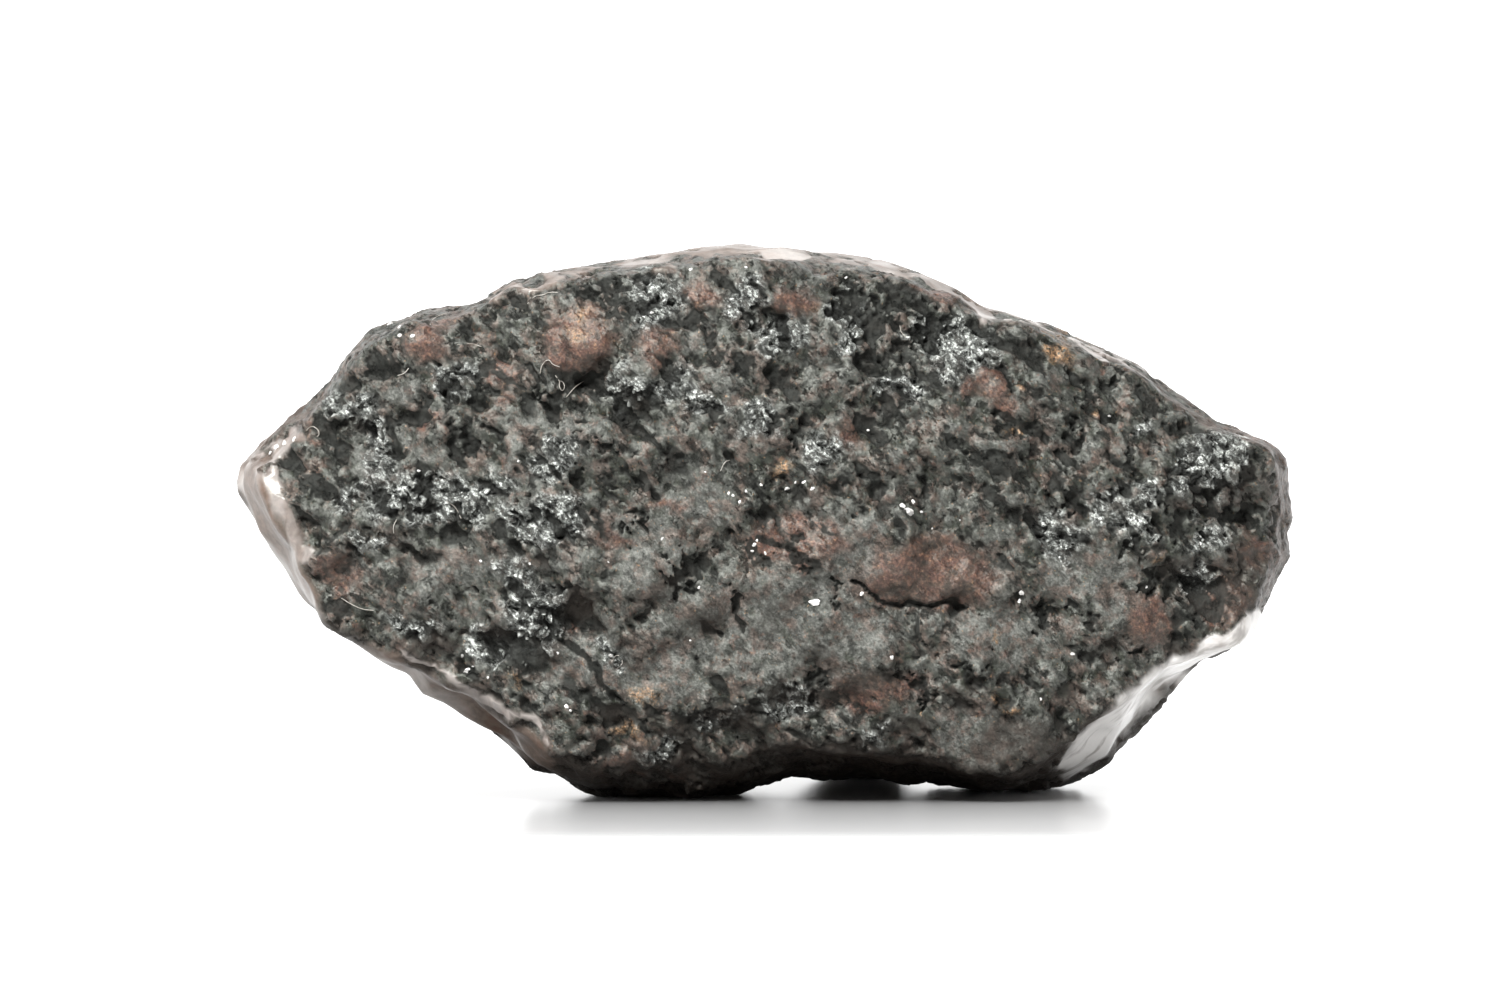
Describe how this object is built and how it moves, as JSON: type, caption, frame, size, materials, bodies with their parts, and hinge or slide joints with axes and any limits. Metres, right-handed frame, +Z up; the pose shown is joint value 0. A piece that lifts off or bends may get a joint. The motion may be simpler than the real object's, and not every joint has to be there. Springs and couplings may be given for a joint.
{
  "type": "meteorite",
  "caption": "Natural stony meteorite, one dark weathered stone with a broad rough face, glossy side walls and small flats that it rests on.",
  "frame": {"origin": "centre of the stone's bounding box in X and Y, on the surface that it rests on", "axes": "+X along the stone's length, towards its right end seen from the broad face; the broad face looks along -Y; +Z up"},
  "size_m": [0.0506, 0.0218, 0.0262],
  "materials": {
    "stone": "dark weathered crust, rough with a dull gloss on its high spots"
  },
  "bodies": {
    "root": {"stone": "stone"}
  },
  "joints": []
}
